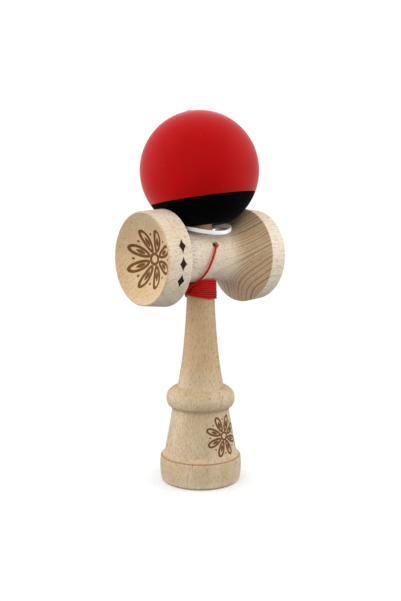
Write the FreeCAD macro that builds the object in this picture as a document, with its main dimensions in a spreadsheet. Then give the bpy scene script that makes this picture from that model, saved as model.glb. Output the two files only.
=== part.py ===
import FreeCAD, Part
import math
import os

import Sketcher

# A kendama standing on its base cup, in millimetres, +Z up. The origin is the centre of the foot, and the
# handle (the ken) stands along Z. The cross piece (the sarado) lies along X with its small cup at -X and
# its big cup at +X. The ball (the tama) rests on the spike, leaning a little, and the string runs from the
# sarado's front hole round the neck and up behind the ball to the bead inside it.

doc = FreeCAD.newDocument("kendama")
sheet = doc.addObject("Spreadsheet::Sheet", "Sizes")
size = {}


def add_sizes(values):
    """Put each named value in the sheet as a plain number, with its name as the cell's alias."""
    for name, value in values.items():
        row = len(size) + 1
        sheet.set(f"A{row}", name)
        sheet.set(f"B{row}", str(value))
        sheet.setAlias(f"B{row}", name)
        size[name] = float(value)


add_sizes({
    # sarado
    "sarado_height": 116.1,
    "sarado_half_length": 37.3,
    "waist_radius": 12.8,
    "waist_half_length": 9.8,
    "flare_radius": 13.5,
    "small_band_edge": 24.3,
    "small_band_radius": 24.0,
    "small_mouth_radius": 22.8,
    "small_dish_radius": 21.95,
    "small_dish_floor": 26.4,
    "big_band_edge": 27.2,
    "big_band_radius": 24.65,
    "big_mouth_radius": 23.75,
    "big_dish_radius": 22.9,
    "big_dish_floor": 26.3,
    "lip_radius": 0.7,
    "bore_radius": 6.25,
    "counterbore_radius": 7.15,
    "counterbore_top": 107.1,
    "string_hole_radius": 1.5,
    "string_hole_angle": 30.0,
    "string_hole_x": 0.5,
    "string_hole_chamfer": 0.7,
    # ken
    "base_cup_radius": 18.0,
    "base_cup_depth": 8.0,
    "notch_width": 3.6,
    "notch_height": 5.0,
    "notch_floor": 3.4,
    "notch_middle": 119.0,
    # tama
    "tama_x": -0.85,
    "tama_z": 159.2,
    "tama_radius": 30.0,
    "coat_thickness": 0.3,
    "tama_lean": 7.95,
    "tama_lean_heading": 127.0,
    "colour_line": 13.95,
    "hole_mouth_radius": 12.3,
    "hole_bevel_depth": 3.0,
    "hole_radius": 10.1,
    "hole_depth": 43.0,
    "tama_string_hole_radius": 1.6,
    "bead_radius": 4.2,
    "bead_length": 4.4,
    "bead_bore_radius": 0.75,
    "knot_radius": 1.35,
    # band round the spike's foot
    "band_x": 0.7,
    "band_y": -0.89,
    "band_radius": 14.0,
    "band_wall": 1.0,
    "band_height": 2.0,
    "band_low_centre": 128.32,
    "band_curve_radius": 36.4,
    "band_curve_x": -0.7,
    # string
    "string_radius": 0.55,
    "winding_radius": 8.3,
    "winding_bottom": 94.85,
    "winding_top": 105.5,
})

# The ken's outline from the cup's mouth to the tip: (station, radius, height, radius of the arc that leads
# here from the last station, or 0 for a straight line, and whether that arc bulges outwards).
KEN_STATIONS = [
    ("foot_inner", 18.2, 0.0, 0, True),
    ("foot_outer", 18.9, 0.0, 0, True),
    ("rim_low", 20.6, 2.0, 2.0, True),
    ("rim_middle", 21.1, 7.5, 37.7, True),
    ("rim_top", 20.85, 12.75, 37.7, True),
    ("ring_groove", 20.3, 13.1, 0, True),
    ("cove_low", 20.35, 13.5, 0, True),
    ("cove_top", 18.4, 16.4, 4.3, False),
    ("body_top", 14.9, 35.8, 0, True),
    ("waist_top", 14.9, 37.4, 0, True),
    ("collar_low", 16.7, 39.5, 3.0, False),
    ("collar_high", 17.1, 46.1, 7.2, True),
    ("dome_top", 11.9, 49.6, 8.7, True),
    ("neck_low", 9.4, 65.0, 199.0, False),
    ("neck_high", 6.95, 103.1, 410.0, False),
    ("neck_top", 6.95, 107.0, 0, True),
    ("spindle_low", 6.2, 107.05, 0, True),
    ("spindle_high", 6.0, 129.5, 0, True),
    ("spike_low", 5.85, 130.4, 0, True),
    ("spike_high", 3.0, 163.5, 0, True),
    ("tip", 0.0, 165.5, 3.25, True),
]

add_sizes({f"{name}_r": radius for name, radius, _, _, _ in KEN_STATIONS if radius})
add_sizes({f"{name}_z": height for name, _, height, _, _ in KEN_STATIONS if height})
doc.recompute()


def plane_of(body, role):
    return next(p for p in body.Origin.OriginFeatures if p.Role == role)


def new_sketch(body, name, role="XZ_Plane"):
    sketch = body.newObject("Sketcher::SketchObject", name)
    sketch.AttachmentSupport = [(plane_of(body, role), "")]
    sketch.MapMode = "FlatFace"
    return sketch


def arc_between(start, end, radius, right):
    """The arc shorter than a half turn between two points, bulging to the right of the way along if right."""
    chord = end - start
    middle = (start + end) * 0.5
    sagitta = radius - math.sqrt(radius * radius - chord.Length ** 2 / 4)
    side = FreeCAD.Vector(chord.y, -chord.x, 0).normalize()
    return Part.Arc(start, middle + side * (sagitta if right else -sagitta), end)


def pin_point(sketch, geometry, end, point, names):
    """Tie a point to the sketch's axes, each coordinate to its cell where it has one."""
    for axis, kind, value, name in ((-2, "DistanceX", point.x, names[0]), (-1, "DistanceY", point.y, names[1])):
        if abs(value) < 1e-9:
            sketch.addConstraint(Sketcher.Constraint("PointOnObject", geometry, end, axis))
            continue
        order = (-1, 1, geometry, end) if value > 0 else (geometry, end, -1, 1)
        index = sketch.addConstraint(Sketcher.Constraint(kind, *order, abs(value)))
        if name:
            sketch.setExpression(f"Constraints[{index}]", f"Sizes.{name}")


def closed_outline(sketch, stations):
    """Draw a closed outline of stations: (point, its cells' names, radius of the arc from the last station
    or 0 for a straight line, whether that arc bulges to the right of the way along)."""
    for i, (point, _, radius, right) in enumerate(stations):
        before = stations[i - 1][0]
        edge = arc_between(before, point, radius, right) if radius else Part.LineSegment(before, point)
        sketch.addGeometry(edge, False)
    for i, (point, names, _, _) in enumerate(stations):
        after = (i + 1) % len(stations)
        end = 2 if sketch.getPoint(i, 2).isEqual(point, 1e-6) else 1
        start = 1 if sketch.getPoint(after, 1).isEqual(point, 1e-6) else 2
        sketch.addConstraint(Sketcher.Constraint("Coincident", i, end, after, start))
        pin_point(sketch, i, end, point, names)
    for i, (_, _, radius, _) in enumerate(stations):
        if radius:
            sketch.addConstraint(Sketcher.Constraint("Radius", i, radius))


def turned(label, stations, axis="V_Axis"):
    """A body turned on a lathe from one closed outline."""
    body = doc.addObject("PartDesign::Body", label)
    sketch = new_sketch(body, f"{label}_outline")
    closed_outline(sketch, stations)
    solid = body.newObject("PartDesign::Revolution", f"{label}_turning")
    solid.Profile = sketch
    solid.ReferenceAxis = (sketch, [axis])
    solid.Angle = 360
    sketch.Visibility = False
    doc.recompute()
    return body


def at(x, y):
    return FreeCAD.Vector(x, y, 0)


def cylinder(name, radius, height, placement):
    """A cylinder whose radius is bound to a cell."""
    shape = doc.addObject("Part::Cylinder", name)
    shape.setExpression("Radius", f"Sizes.{radius}")
    shape.Height = height
    shape.Placement = placement
    return shape


def cut(label, base, tools):
    """The base piece with one tool after another taken away; the last cut carries the label."""
    for number, tool in enumerate(tools, 1):
        result = doc.addObject("Part::Cut", f"{label}_cut_{number}" if number < len(tools) else label)
        result.Base = base
        result.Tool = tool
        base = result
    doc.recompute()
    return base


Z = FreeCAD.Vector(0, 0, 1)
UPRIGHT = FreeCAD.Rotation()


# Ken: handle, collar, neck, spindle and spike in one turned piece, with a dished foot.
def make_ken():
    cup_radius = (size["base_cup_radius"] ** 2 + size["base_cup_depth"] ** 2) / (2 * size["base_cup_depth"])
    stations = [
        (at(0, size["base_cup_depth"]), ("", "base_cup_depth"), 0, True),
        (at(size["base_cup_radius"], 0.15), ("base_cup_radius", ""), cup_radius, False),
    ]
    for name, radius, height, arc, outwards in KEN_STATIONS:
        cells = (f"{name}_r" if radius else "", f"{name}_z" if height else "")
        stations.append((at(radius, height), cells, arc, outwards))
    body = turned("ken_turning", stations)
    # The notch in the spindle's front that holds the string's inner knot.
    sketch = new_sketch(body, "knot_notch_outline", "YZ_Plane")
    half = size["notch_height"] / 2
    low, high = size["notch_middle"] - half, size["notch_middle"] + half
    inner, outer = -size["notch_floor"], -8.0
    corners = [at(outer, low), at(inner, low), at(inner, high), at(outer, high)]
    names = [("", ""), ("notch_floor", ""), ("notch_floor", ""), ("", "")]
    closed_outline(sketch, [(p, n, 0, True) for p, n in zip(corners, names)])
    notch = body.newObject("PartDesign::Pocket", "knot_notch")
    notch.Profile = sketch
    notch.Midplane = True
    notch.setExpression("Length", "Sizes.notch_width")
    sketch.Visibility = False
    doc.recompute()
    return body


def flare_start(edge, radius):
    """Where the straight flare leaves the waist's arc, tangent to it, to reach the band's edge."""
    centre = at(size["waist_half_length"], size["waist_radius"] + size["flare_radius"])
    reach = at(edge, radius) - centre
    turn = math.acos(size["flare_radius"] / reach.Length)
    heading = math.atan2(reach.y, reach.x) - turn
    return centre + at(math.cos(heading), math.sin(heading)) * size["flare_radius"]


def half_sarado(side):
    """The outline of one half from the waist's middle to its dish, for the small or the big cup."""
    edge, radius = size[f"{side}_band_edge"], size[f"{side}_band_radius"]
    dish, floor = size[f"{side}_dish_radius"], size[f"{side}_dish_floor"]
    taper = size[f"{side}_mouth_radius"]
    end, lip, waist = size["sarado_half_length"], size["lip_radius"], size["waist_half_length"]
    flare = flare_start(edge, radius)
    mouth = end - 0.25
    bowl = (dish ** 2 + (mouth - floor) ** 2) / (2 * (mouth - floor))
    return [
        (at(waist, size["waist_radius"]), ("waist_half_length", "waist_radius"), 0, True),
        (flare, ("", ""), size["flare_radius"], True),
        (at(edge, radius), (f"{side}_band_edge", f"{side}_band_radius"), 0, True),
        (at(end - lip, taper), ("", f"{side}_mouth_radius"), 0, True),
        (at(end, taper - lip), ("sarado_half_length", ""), lip, False),
        (at(mouth, dish), ("", f"{side}_dish_radius"), 0, True),
        (at(floor, 0), (f"{side}_dish_floor", ""), bowl, True),
    ]


# Sarado: the cross piece, turned with a cup in each end, then bored for the spindle and the string.
def make_sarado():
    # The small cup's half is mirrored, and runs back from its dish to the waist. Both changes turn an arc's
    # side over, so it stays as it is.
    stations, leads_here = [], (0, True)
    for point, names, radius, right in reversed(half_sarado("small")):
        stations.append((at(-point.x, point.y), names, *leads_here))
        leads_here = (radius, right)
    big = half_sarado("big")
    stations += [(*big[0][:2], 0, True), *big[1:]]
    body = turned("sarado_turning", stations, "H_Axis")
    body.Placement = FreeCAD.Placement(Z * size["sarado_height"], UPRIGHT)
    bore = cylinder("spindle_bore", "bore_radius", 60, FreeCAD.Placement(Z * 90, UPRIGHT))
    depth = size["counterbore_top"] - 90
    seat = cylinder("neck_counterbore", "counterbore_radius", depth, FreeCAD.Placement(Z * 90, UPRIGHT))
    angle = math.radians(size["string_hole_angle"])
    outward = FreeCAD.Vector(0, -math.cos(angle), math.sin(angle))
    turn = FreeCAD.Rotation(Z, outward)
    middle = FreeCAD.Vector(size["string_hole_x"], 0, size["sarado_height"])
    hole = cylinder("string_hole", "string_hole_radius", 12,
                    FreeCAD.Placement(middle + outward * 4, turn))
    chamfer = doc.addObject("Part::Cone", "string_hole_chamfer_tool")
    chamfer.Radius1 = size["string_hole_radius"]
    chamfer.Radius2 = size["string_hole_radius"] + 2 * size["string_hole_chamfer"]
    chamfer.Height = 2 * size["string_hole_chamfer"]
    rim = size["waist_radius"] - size["string_hole_chamfer"]
    chamfer.Placement = FreeCAD.Placement(middle + outward * rim, turn)
    return cut("sarado", body, [bore, seat, hole, chamfer])


# The tama's own frame: its centre, with the hole's axis along local Z.
def tama_placement():
    lean, heading = math.radians(size["tama_lean"]), math.radians(size["tama_lean_heading"])
    axis = FreeCAD.Vector(math.sin(lean) * math.cos(heading), math.sin(lean) * math.sin(heading), math.cos(lean))
    return FreeCAD.Placement(FreeCAD.Vector(size["tama_x"], 0, size["tama_z"]), FreeCAD.Rotation(Z, axis))


def on_ball(radius, away):
    """The height of the ball's surface of that radius where it is that far from the axis."""
    return math.sqrt(radius * radius - away * away)


# Tama core: a ball with the big bevelled hole below and the string's hole above.
def make_tama_core():
    core = size["tama_radius"] - size["coat_thickness"]
    mouth = size["hole_mouth_radius"]
    low, high = -on_ball(core, mouth), on_ball(core, size["tama_string_hole_radius"])
    bevel = low + size["hole_bevel_depth"]
    floor = low + size["hole_depth"]
    stations = [
        (at(mouth, low), ("hole_mouth_radius", ""), 0, True),
        (at(core, 0), ("", ""), core, True),
        (at(size["tama_string_hole_radius"], high), ("tama_string_hole_radius", ""), core, True),
        (at(size["tama_string_hole_radius"], floor), ("tama_string_hole_radius", ""), 0, True),
        (at(size["hole_radius"], floor), ("hole_radius", ""), 0, True),
        (at(size["hole_radius"], bevel), ("hole_radius", ""), 0, True),
    ]
    body = turned("tama_core", stations)
    body.Placement = tama_placement()
    return body


# The two coats: thin shells on the core that meet at one level.
def make_coat(label, low_name, low, high_name, high):
    outer, core = size["tama_radius"], size["tama_radius"] - size["coat_thickness"]

    def ends(value, name, sign):
        """The outer and inner corner at one edge, which is either a level or a hole's radius."""
        if name == "colour_line":
            return [at(on_ball(r, value), -value) for r in (outer, core)], [("", name)] * 2
        return [at(value, sign * on_ball(r, value)) for r in (outer, core)], [(name, "")] * 2

    (low_out, low_in), (low_out_cell, low_in_cell) = ends(low, low_name, -1)
    (high_out, high_in), (high_out_cell, high_in_cell) = ends(high, high_name, 1)
    stations = [
        (low_out, low_out_cell, 0, True),
        (high_out, high_out_cell, outer, True),
        (high_in, high_in_cell, 0, True),
        (low_in, low_in_cell, core, False),
    ]
    if low_out.y < 0 < high_out.y:
        stations.insert(1, (at(outer, 0), ("tama_radius", ""), outer, True))
        stations.insert(4, (at(core, 0), ("", ""), core, False))
    body = turned(label, stations)
    body.Placement = tama_placement()
    return body


# The bead under the tama's string hole, that the knot pulls against.
def make_bead():
    top = -on_ball(size["tama_radius"] - size["coat_thickness"], size["hole_mouth_radius"]) + size["hole_depth"]
    high = top - 0.2
    low = high - size["bead_length"]
    outer, inner = size["bead_radius"], size["bead_bore_radius"]
    shoulder = 2.6
    stations = [
        (at(inner, low), ("bead_bore_radius", ""), 0, True),
        (at(shoulder, low), ("", ""), 0, True),
        (at(outer, (low + high) / 2), ("bead_radius", ""), 3.2, True),
        (at(shoulder, high), ("", ""), 3.2, True),
        (at(inner, high), ("bead_bore_radius", ""), 0, True),
    ]
    body = turned("bead", stations)
    body.Placement = tama_placement()
    return body, low


# A knot drawn tight is a small ball of string.
def make_knot(label, centre):
    knot = doc.addObject("Part::Sphere", label)
    knot.setExpression("Radius", "Sizes.knot_radius")
    knot.Placement = FreeCAD.Placement(centre, UPRIGHT)
    return knot


# The soft band that hangs saddle-fashion over the sarado's waist, round the spike's foot.
def make_band():
    centre = FreeCAD.Vector(size["band_x"], size["band_y"], size["band_low_centre"] - 6)
    rings = []
    for name, step in (("outside", 0.5), ("inside", -0.5)):
        ring = doc.addObject("Part::Cylinder", f"band_{name}")
        ring.setExpression("Radius", f"Sizes.band_radius + {step} * Sizes.band_wall")
        ring.Height = 16
        ring.Placement = FreeCAD.Placement(centre, UPRIGHT)
        rings.append(ring)
    lying = FreeCAD.Rotation(FreeCAD.Vector(1, 0, 0), 90)
    axis = FreeCAD.Vector(size["band_curve_x"], 20, size["band_low_centre"] + size["band_curve_radius"])
    edges = []
    for name, step in (("lower_edge", 0.5), ("upper_edge", -0.5)):
        roller = doc.addObject("Part::Cylinder", f"band_{name}")
        roller.setExpression("Radius", f"Sizes.band_curve_radius + {step} * Sizes.band_height")
        roller.Height = 40
        roller.Placement = FreeCAD.Placement(axis, lying)
        edges.append(roller)
    tube = cut("band_tube", rings[0], [rings[1]])
    strip = cut("band_strip", edges[0], [edges[1]])
    band = doc.addObject("Part::Common", "band_common")
    band.Base = tube
    band.Tool = strip
    doc.recompute()
    rounded = doc.addObject("Part::Fillet", "spacer_band")
    rounded.Base = band
    rounded.Edges = [(i + 1, 0.3, 0.3) for i, e in enumerate(band.Shape.Edges) if e.Length > 20]
    doc.recompute()
    return rounded


def tube_path(points):
    """Straight runs joined by tangent arcs, each as large as its two runs allow, and the arcs' radii."""
    edges, radii, last = [], [], points[0]
    for before, corner, after in zip(points, points[1:], points[2:]):
        back, ahead = (before - corner), (after - corner)
        half_turn = (math.pi - back.getAngle(ahead)) / 2
        cut_back = 0.45 * min(back.Length, ahead.Length)
        radii.append(cut_back / math.tan(half_turn))
        back.normalize()
        ahead.normalize()
        start, end = corner + back * cut_back, corner + ahead * cut_back
        bisector = (back + ahead).normalize()
        apex = corner + bisector * (radii[-1] / math.cos(half_turn) - radii[-1])
        edges += [Part.LineSegment(last, start).toShape(), Part.Arc(start, apex, end).toShape()]
        last = end
    edges.append(Part.LineSegment(last, points[-1]).toShape())
    return Part.Wire(edges), radii


# A stretch of string: a plain tube along its route, that ends on the face of its knot if it has one.
def make_string(label, route, knot=None):
    points = [FreeCAD.Vector(*p) for p in route]
    wire, radii = tube_path(points)
    start = (points[1] - points[0]).normalize()
    section = Part.Wire(Part.makeCircle(size["string_radius"], points[0], start))
    solid = wire.makePipeShell([section], True, False)
    expected = math.pi * size["string_radius"] ** 2 * wire.Length
    if abs(solid.Volume / expected - 1) > 0.02:
        raise ValueError(f"{label} has volume {solid.Volume:.1f} and not {expected:.1f}")
    print(label, "length", round(wire.Length, 1), "radii", [round(r, 1) for r in radii])
    feature = doc.addObject("Part::Feature", f"{label}_tube" if knot else label)
    feature.Shape = solid
    return cut(label, feature, [knot]) if knot else feature


# The string's routes. The lead comes out of the sarado's hole and falls round the waist to the neck's left.
LEAD = [
    (0.3, -5.5, 119.5), (0.4, -11.0, 122.3), (-0.6, -12.75, 121.5), (-2.3, -13.75, 118.4),
    (-4.3, -13.85, 114.1), (-5.9, -12.6, 109.6), (-7.3, -9.3, 105.5), (-8.8, -3.85, 102.2),
    (-9.15, 0.5, 98.2), (-6.95, 3.9, 96.0),
]
# The tail leaves the winding's top behind the neck, passes the waist and goes up to the ball.
TAIL_LOW = [
    (-1.5, 7.75, 104.0), (1.4, 8.6, 105.0), (3.0, 10.6, 107.4), (3.7, 13.0, 111.0),
    (4.15, 16.3, 118.0), (4.38, 21.91, 130.4), (3.91, 25.01, 137.75),
]
# Then it lies over the back of the ball and goes down its top hole to the bead.
TAIL_HIGH = [
    (3.91, 25.01, 137.75), (3.46, 28.01, 144.86), (2.39, 31.12, 156.77), (1.23, 30.34, 168.25),
    (-0.2, 25.16, 178.4), (-1.7, 16.8, 185.82), (-2.93, 8.38, 189.24), (-3.44, 3.43, 190.04), (-1.73, 1.16, 169.6),
]


def make_winding(neighbours):
    """The turns of string round the neck, as one ring cut to the pieces that it lies against."""
    height = size["winding_top"] - size["winding_bottom"]
    ring = cylinder("winding_ring", "winding_radius", height,
                    FreeCAD.Placement(Z * size["winding_bottom"], UPRIGHT))
    return cut("string_winding", ring, neighbours)


ken = make_ken()
sarado = make_sarado()
tama_core = make_tama_core()
red_coat = make_coat("tama_red_coat", "colour_line", size["colour_line"],
                     "tama_string_hole_radius", size["tama_string_hole_radius"])
black_coat = make_coat("tama_black_coat", "hole_mouth_radius", size["hole_mouth_radius"],
                       "colour_line", size["colour_line"])
bead, bead_low = make_bead()
end_knot = make_knot("string_end_knot", tama_placement().multVec(Z * (bead_low - size["knot_radius"] - 0.05)))
anchor_knot = make_knot("string_anchor_knot", FreeCAD.Vector(0, -4.8, 119.1))
band = make_band()
lead = make_string("string_lead", LEAD, anchor_knot)
tail_low = make_string("string_tail_low", TAIL_LOW)
tail_high = make_string("string_tail_high", TAIL_HIGH, end_knot)
winding = make_winding([ken, sarado, lead, tail_low])
ken.Label = "ken"

nodes = [ken, sarado, tama_core, red_coat, black_coat, bead, end_knot, anchor_knot, band, lead, tail_low,
         tail_high, winding]

doc.recompute()
for thing in doc.Objects:
    if "Invalid" in thing.State or "Error" in thing.State:
        raise ValueError(f"{thing.Label} failed: {thing.State}")
os.makedirs("parts", exist_ok=True)
for node in nodes:
    shape = node.Shape
    if shape.isNull() or not shape.isValid() or shape.Volume <= 0 or len(shape.Solids) != 1:
        raise ValueError(f"{node.Label} has a bad shape")
    box = shape.optimalBoundingBox(True)
    print(f"{node.Label:20s} volume {shape.Volume:10.1f}  x {box.XMin:7.2f} {box.XMax:7.2f}  "
          f"y {box.YMin:7.2f} {box.YMax:7.2f}  z {box.ZMin:7.2f} {box.ZMax:7.2f}")
    shape.exportStep(f"parts/{node.Label}.step")
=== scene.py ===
import math

import bpy
from mathutils import Matrix, Quaternion, Vector


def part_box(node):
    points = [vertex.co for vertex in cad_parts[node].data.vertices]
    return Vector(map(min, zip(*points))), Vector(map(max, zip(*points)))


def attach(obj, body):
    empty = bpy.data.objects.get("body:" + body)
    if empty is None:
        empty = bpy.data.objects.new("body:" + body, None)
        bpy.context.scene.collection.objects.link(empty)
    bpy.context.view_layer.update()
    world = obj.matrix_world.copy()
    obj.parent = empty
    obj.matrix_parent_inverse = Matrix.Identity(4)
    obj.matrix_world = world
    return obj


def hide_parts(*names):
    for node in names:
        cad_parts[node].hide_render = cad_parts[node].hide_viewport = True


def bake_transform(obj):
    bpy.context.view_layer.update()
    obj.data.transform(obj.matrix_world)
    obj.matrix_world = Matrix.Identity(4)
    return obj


# A kendama: ken (handle and spike), sarado (crosspiece with two cups), tama (ball), a white spacer band and
# the string that is wound round the neck. Lengths are in millimetres unless a comment says metres, and MM
# turns them into metres.
MM = 0.001

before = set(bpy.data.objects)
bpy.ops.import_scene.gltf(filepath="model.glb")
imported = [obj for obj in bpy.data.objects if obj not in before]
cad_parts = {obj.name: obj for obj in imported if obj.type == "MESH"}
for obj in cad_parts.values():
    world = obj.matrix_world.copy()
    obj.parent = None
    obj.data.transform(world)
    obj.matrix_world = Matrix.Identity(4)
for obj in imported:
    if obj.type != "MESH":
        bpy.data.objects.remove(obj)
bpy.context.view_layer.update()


# ---------------------------------------------------------------- camera
CAMERA_AT = Vector((-244.48, -298.77, 134.5)) * MM
CAMERA_AIM = Vector((-0.06, 0.05, 94.44)) * MM
CAMERA_ROLL = math.radians(0.04)
LENS_LENGTH, SENSOR_WIDTH, LENS_SHIFT = 45.30, 36, -0.0027
CLIP_START, CLIP_END = 0.02, 50                         # metres


def make_camera():
    """The camera that took the photo."""
    lens = bpy.data.cameras.new("camera")
    lens.sensor_width = SENSOR_WIDTH
    lens.lens = LENS_LENGTH
    lens.shift_y = LENS_SHIFT
    lens.clip_start, lens.clip_end = CLIP_START, CLIP_END
    camera = bpy.data.objects.new("camera", lens)
    bpy.context.collection.objects.link(camera)
    camera.location = CAMERA_AT
    camera.rotation_mode = "QUATERNION"
    looking = (CAMERA_AIM - CAMERA_AT).to_track_quat("-Z", "Y")
    camera.rotation_quaternion = looking @ Quaternion((0, 0, 1), CAMERA_ROLL)
    bpy.context.scene.camera = camera


make_camera()


# ---------------------------------------------------------------- the string's line
# From the notch out through the crosspiece's hole and down to the winding.
LEAD = [
    (0.3, -5.5, 119.5), (0.4, -11.0, 122.3), (-0.6, -12.75, 121.5), (-2.3, -13.75, 118.4),
    (-4.3, -13.85, 114.1), (-5.9, -12.6, 109.6), (-7.3, -9.3, 105.5), (-8.8, -3.85, 102.2),
    (-9.15, 0.5, 98.2),
]
# From the winding up behind the ball, over its top and down inside to the bead.
TAIL = [
    (1.4, 8.6, 105.0), (3.0, 10.6, 107.4), (3.7, 13.0, 111.0), (4.15, 16.3, 118.0), (4.38, 21.91, 130.4),
    (3.46, 28.01, 144.86), (2.37, 30.90, 156.79), (1.21, 30.10, 168.18), (-0.21, 24.95, 178.24),
    (-1.70, 16.66, 185.60), (-2.93, 8.32, 189.02), (-3.25, 4.1, 189.3), (-3.0, 2.9, 186.2),
    (-1.73, 1.16, 169.6),
]
STRING_RADIUS = 0.55
SARADO_Z = 116.1
WAIST_RADIUS = 12.8

WINDING_FIRST, WINDING_LAST = 144.4, 101.0
WINDING_TURNS = 9
WINDING_LOW = 94.7
WINDING_LEFT_RISE = 1.8                                 # the lowest turns start this much higher on the left
WINDING_WAVE, WINDING_BULGE, WINDING_RIPPLE = 0.06, 0.16, 0.05
WAIST_REACH = 7.6                                       # how far round the neck the waist bears on the turns
WAIST_GAP, NECK_GAP = 0.05, 0.06
POINTS_PER_TURN = 20
STRING_STEP = 0.26
NECK_RADIUS, NECK_FLARE, NECK_HIGH = 6.95, 0.0033, 103.1


def neck_radius(z):
    """The neck's radius where the string is wound."""
    return NECK_RADIUS + NECK_FLARE * max(0, NECK_HIGH - z) ** 2


def winding_route():
    """The turns round the neck, clockwise from above, from the left side up to the back. They crowd together
    at the sides, where the waist comes down, so every other turn rides a little further out there."""
    sweep = WINDING_FIRST - WINDING_LAST + 360 * WINDING_TURNS
    count = round(POINTS_PER_TURN * sweep / 360)
    spline_shrink = math.cos(math.pi / POINTS_PER_TURN)
    route = []
    for i in range(1, count + 1):
        share = i / count
        turn = share * sweep / 360
        angle = math.radians(WINDING_FIRST) - share * math.radians(sweep)
        leftness = max(0.0, -math.cos(angle))
        crowding = abs(math.cos(angle)) ** 2
        low = WINDING_LOW + WINDING_LEFT_RISE * leftness ** 1.5
        reach = WAIST_REACH * math.sin(angle)
        high = SARADO_Z - math.sqrt((WAIST_RADIUS + STRING_RADIUS + WAIST_GAP) ** 2 - reach ** 2)
        z = low + share * (high - low) + WINDING_WAVE * math.sin(5.3 * turn + 1)
        bulge = WINDING_BULGE * crowding * (1 + math.cos(math.pi * turn))
        bulge = bulge + WINDING_RIPPLE * math.sin(7.9 * turn)
        radius = (neck_radius(z) + STRING_RADIUS + NECK_GAP + bulge) / spline_shrink
        route.append((radius * math.cos(angle), radius * math.sin(angle), z))
    return route


def spline_points(route):
    """The points, in metres, of the smooth line that has the route's points as its control points."""
    curve = bpy.data.curves.new("route", "CURVE")
    curve.dimensions = "3D"
    curve.resolution_u = 8
    spline = curve.splines.new("NURBS")
    spline.points.add(len(route) - 1)
    for point, place in zip(spline.points, route):
        point.co = (*(Vector(place) * MM), 1)
    spline.order_u = 3
    spline.use_endpoint_u = True
    carrier = bpy.data.objects.new("route", curve)
    line = bpy.data.meshes.new_from_object(carrier)
    points = [vertex.co.copy() for vertex in line.vertices]
    bpy.data.objects.remove(carrier)
    bpy.data.curves.remove(curve)
    bpy.data.meshes.remove(line)
    return points


def evenly(points, step):
    """Points along the same line, about that far apart, with its two ends."""
    lengths = [0.0]
    for before, after in zip(points, points[1:]):
        lengths.append(lengths[-1] + (after - before).length)
    count = max(2, round(lengths[-1] / step))
    result, i = [], 0
    for k in range(count + 1):
        along = lengths[-1] * k / count
        while i < len(points) - 2 and lengths[i + 1] < along:
            i += 1
        span = lengths[i + 1] - lengths[i]
        result.append(points[i].lerp(points[i + 1], (along - lengths[i]) / span if span else 0))
    return result


# ---------------------------------------------------------------- mesh tools
def add_mesh(name, points, faces, sharp=35):
    """A smooth-shaded object with an edge wherever its faces turn by more than sharp degrees."""
    mesh = bpy.data.meshes.new(name)
    mesh.from_pydata([tuple(p) for p in points], [], faces)
    mesh.validate()
    finish_mesh(mesh, sharp)
    obj = bpy.data.objects.new(name, mesh)
    bpy.context.collection.objects.link(obj)
    return obj


def finish_mesh(mesh, sharp=35):
    """Smooth shading, broken at edges sharper than sharp degrees."""
    mesh.shade_smooth()
    mesh.set_sharp_from_angle(angle=math.radians(sharp))


def arc_points(start, end, radius, step):
    """Points after start up to end on an arc that turns left for a positive radius and right for a negative
    one, or on a straight line for 0."""
    chord = end - start
    if not radius:
        count = max(1, round(chord.length / step))
        return [start + chord * (k / count) for k in range(1, count + 1)]
    left = Vector((-chord.y, chord.x)).normalized()
    height = math.sqrt(max(radius * radius - chord.length_squared / 4, 0))
    centre = (start + end) / 2 + left * math.copysign(height, radius)
    first = start - centre
    sweep = math.copysign(2 * math.asin(min(1, chord.length / 2 / abs(radius))), radius)
    count = max(3, math.ceil(abs(sweep * radius) / step), math.ceil(abs(math.degrees(sweep)) / 9))
    turned_by = [sweep * k / count for k in range(1, count)]
    inner = [centre + Vector((first.x * math.cos(a) - first.y * math.sin(a),
                              first.x * math.sin(a) + first.y * math.cos(a))) for a in turned_by]
    return [*inner, end]


CORNER = 16                                             # an outline that turns by more degrees is eased


def outline_of(stations, step=1.4, ease=0.25, closed=False):
    """Points (radius, height) along stations (radius, height, signed radius of the arc that leads here or 0).
    Every corner is eased over a short curve, as sanding leaves it."""
    stations = [(Vector(s[:2]), s[2]) for s in stations]
    points = [stations[0][0]]
    for (before, _), (place, radius) in zip(stations, stations[1:]):
        points += arc_points(before, place, radius, step)
    if closed:
        points += arc_points(stations[-1][0], stations[0][0], stations[0][1], step)[:-1]
    eased = []
    for i, point in enumerate(points):
        if not closed and i in (0, len(points) - 1):
            eased.append(point)
            continue
        back, ahead = points[i - 1] - point, points[(i + 1) % len(points)] - point
        if math.degrees(math.pi - back.angle(ahead)) < CORNER:
            eased.append(point)
            continue
        start = point + back.normalized() * min(ease, 0.4 * back.length)
        end = point + ahead.normalized() * min(ease, 0.4 * ahead.length)
        for k in range(5):
            t = k / 4
            eased.append(start * (1 - t) ** 2 + point * 2 * t * (1 - t) + end * t * t)
    return eased


def turned(name, outline, segments=128, place=None, closed=False):
    """A piece turned on a lathe. The outline starts and ends on the axis, or is a closed loop beside it."""
    place = place or Matrix.Identity(4)
    points, rings, faces = [], [], []
    for radius, height in outline:
        count = segments if radius > 1e-6 else 1
        rings.append(range(len(points), len(points) + count))
        for k in range(count):
            angle = math.tau * k / segments
            spot = Vector((radius * math.cos(angle), radius * math.sin(angle), height))
            points.append((place @ spot) * MM)
    pairs = list(zip(rings, rings[1:]))
    if closed:
        pairs.append((rings[-1], rings[0]))
    for low, high in pairs:
        for k in range(segments):
            after = (k + 1) % segments
            if len(low) == 1:
                faces.append((low[0], high[after], high[k]))
            elif len(high) == 1:
                faces.append((low[k], low[after], high[0]))
            else:
                faces.append((low[k], low[after], high[after], high[k]))
    return add_mesh(name, points, faces)


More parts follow.
